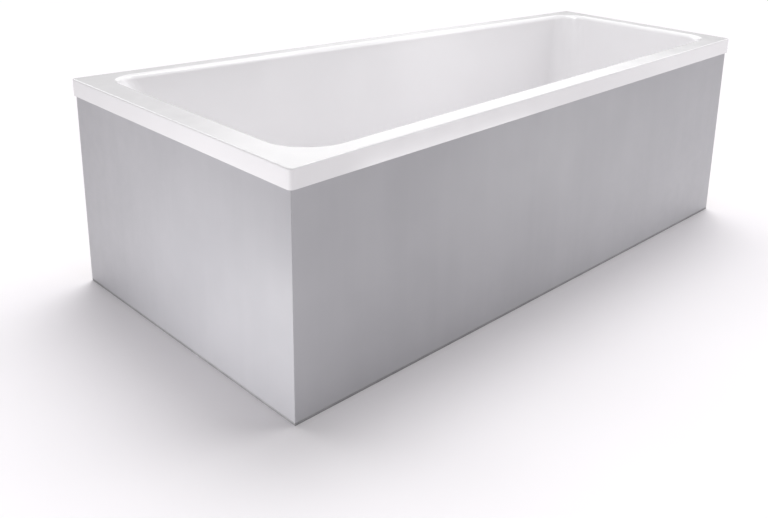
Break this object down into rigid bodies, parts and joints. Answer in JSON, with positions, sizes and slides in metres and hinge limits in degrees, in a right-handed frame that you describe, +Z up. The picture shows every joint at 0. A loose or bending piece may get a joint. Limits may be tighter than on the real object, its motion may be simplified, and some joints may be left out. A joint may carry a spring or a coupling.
{
  "type": "bathtub",
  "caption": "Built-in space-saving bathtub: white acrylic trapezoid basin with slanted front, plain grey front and end panels, rotary pop-up waste, trap and adjustable legs.",
  "frame": {"origin": "on the floor under the centre of the rim's outer rectangle", "axes": "+X along the straight wall side towards the narrow end, +Y towards the wall behind the tub, +Z up"},
  "size_m": [1.7, 0.8984, 0.51],
  "materials": {
    "acrylic": "glossy sanitary acrylic",
    "glass_fibre": "rough sprayed glass fibre and resin",
    "chipboard": "pressed wood chips",
    "batten_timber": "sawn softwood",
    "zinc_steel": "zinc plated",
    "panel_grey": "satin grey",
    "seal_grey": "soft matt profile",
    "rail_aluminium": "extruded, plain",
    "clip_plastic": "moulded",
    "chrome": "polished",
    "gasket_rubber": "matt",
    "waste_plastic": "moulded white",
    "pipe_grey": "drain pipe grey",
    "lever_plastic": "moulded",
    "pin_steel": "plain",
    "brass": "turned",
    "hose_plastic": "ribbed, white",
    "cable_sheath": "satin sheath",
    "pad_plastic": "moulded"
  },
  "bodies": {
    "tub": {"tub_shell": "acrylic", "fibreglass_backing": "glass_fibre", "base_board_wide": "chipboard", "base_board_narrow": "chipboard", "rim_batten_front": "batten_timber", "rim_batten_narrow_end": "batten_timber", "rim_batten_back": "batten_timber", "rim_batten_wide_end": "batten_timber", "leg_rail_wide": "zinc_steel", "leg_rail_narrow": "zinc_steel", "leg_lock_nuts": "zinc_steel", "leg_rail_screws": "zinc_steel", "front_panel": "panel_grey", "end_panel": "panel_grey", "front_floor_seal": "seal_grey", "end_floor_seal": "seal_grey", "front_panel_rail": "rail_aluminium", "end_panel_rail": "rail_aluminium", "panel_rail_screws": "zinc_steel", "panel_clips": "clip_plastic", "panel_floor_brackets": "zinc_steel", "panel_corner_profile": "rail_aluminium", "wall_anchors": "zinc_steel", "drain_flange": "chrome", "drain_gasket": "gasket_rubber", "drain_body": "waste_plastic", "lever_pin": "pin_steel", "trap_union_nut": "waste_plastic", "trap": "waste_plastic", "outlet_nut": "waste_plastic", "outlet_pipe": "pipe_grey", "overflow_body": "waste_plastic", "overflow_gasket": "gasket_rubber", "overflow_front_seal": "gasket_rubber", "overflow_ring": "chrome", "overflow_screws": "zinc_steel", "overflow_hose": "hose_plastic", "hose_clips": "zinc_steel", "plug_cable": "cable_sheath"},
    "overflow_handle": {"overflow_knob": "chrome", "overflow_spindle": "brass"},
    "plug": {"plug_cap": "chrome", "plug_seal": "gasket_rubber", "plug_stem": "brass"},
    "lever": {"lift_lever": "lever_plastic"},
    "leg_wide_front": {"leg_rod_wide_front": "zinc_steel", "leg_pad_wide_front": "pad_plastic"},
    "leg_wide_back": {"leg_rod_wide_back": "zinc_steel", "leg_pad_wide_back": "pad_plastic"},
    "leg_narrow_front": {"leg_rod_narrow_front": "zinc_steel", "leg_pad_narrow_front": "pad_plastic"},
    "leg_narrow_back": {"leg_rod_narrow_back": "zinc_steel", "leg_pad_narrow_back": "pad_plastic"}
  },
  "joints": [
    {"name": "leg_wide_front_height", "type": "slide", "parent": "tub", "child": "leg_wide_front", "axis": [0, 0, 1], "range_m": [-0.01, 0.012]},
    {"name": "leg_wide_back_height", "type": "slide", "parent": "tub", "child": "leg_wide_back", "axis": [0, 0, 1], "range_m": [-0.01, 0.012]},
    {"name": "leg_narrow_front_height", "type": "slide", "parent": "tub", "child": "leg_narrow_front", "axis": [0, 0, 1], "range_m": [-0.01, 0.012]},
    {"name": "leg_narrow_back_height", "type": "slide", "parent": "tub", "child": "leg_narrow_back", "axis": [0, 0, 1], "range_m": [-0.01, 0.012]},
    {"name": "knob_turn", "type": "hinge", "parent": "tub", "child": "overflow_handle", "pos_m": [0.05581, -0.23028, 0.448], "axis": [-0.1664, 0.9753, 0.1451], "range_deg": [0, 100]},
    {"name": "plug_lift", "type": "slide", "parent": "tub", "child": "plug", "axis": [0, 0, 1], "range_m": [0, 0.008]},
    {"name": "lever_tilt", "type": "hinge", "parent": "tub", "child": "lever", "pos_m": [0.01048, -0.06565, 0.095], "axis": [0.1682, -0.9858, 0], "range_deg": [0, 24.09]}
  ],
  "couplings": [
    {"joint": "plug_lift", "follows": "knob_turn", "m_per_rad": 0.0045837},
    {"joint": "lever_tilt", "follows": "knob_turn", "ratio": 0.24087}
  ]
}
